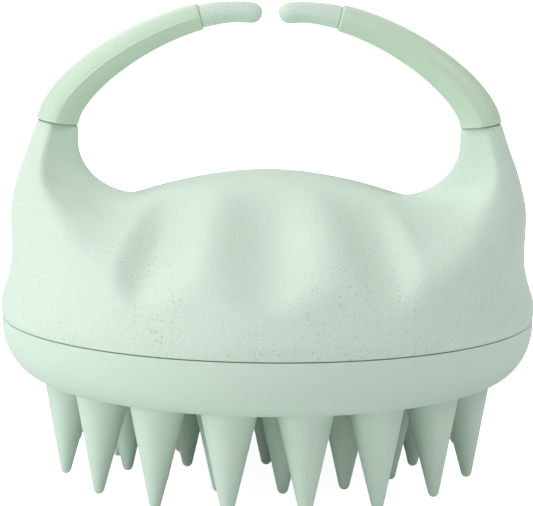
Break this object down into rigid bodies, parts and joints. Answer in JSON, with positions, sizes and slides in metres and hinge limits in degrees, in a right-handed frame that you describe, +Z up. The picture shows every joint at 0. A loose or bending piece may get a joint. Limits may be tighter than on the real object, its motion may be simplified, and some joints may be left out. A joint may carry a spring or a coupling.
{
  "type": "scalp massager brush",
  "caption": "Round palm-held scalp massager: a hollow handle with finger grooves and two flexing arms that almost close into a ring, over a soft pad of cone bristles.",
  "frame": {"origin": "middle of the circle of bristle tips, on the surface that the brush stands on", "axes": "+Z up through the handle, +X to the right along the ring, -Y towards the finger grooves"},
  "size_m": [0.1004, 0.1004, 0.0888],
  "materials": {
    "hard_handle": "matte, speckled",
    "soft_band": "satin",
    "silicone_pad": "satin",
    "inner_plastic": "matte",
    "screw_steel": "bright"
  },
  "bodies": {
    "handle": {"handle_shell": "hard_handle", "base_plate": "inner_plastic", "base_screws": "screw_steel", "brush_pad": "silicone_pad", "outer_bristles": "silicone_pad", "middle_bristles": "silicone_pad", "inner_bristles": "silicone_pad", "centre_bristles": "silicone_pad"},
    "left_arm": {"left_arm_spine": "hard_handle", "left_grip_band": "soft_band"},
    "right_arm": {"right_arm_spine": "hard_handle", "right_grip_band": "soft_band"}
  },
  "joints": [
    {"name": "left_arm_flex", "type": "hinge", "parent": "handle", "child": "left_arm", "pos_m": [-0.0394, 0, 0.0675], "axis": [0, -1, 0], "range_deg": [-3, 12], "stiffness_Nm_per_rad": 0.6, "deforming": ["left_grip_band"]},
    {"name": "right_arm_flex", "type": "hinge", "parent": "handle", "child": "right_arm", "pos_m": [0.0394, 0, 0.0675], "axis": [0, 1, 0], "range_deg": [-3, 12], "stiffness_Nm_per_rad": 0.6, "deforming": ["right_grip_band"]}
  ]
}
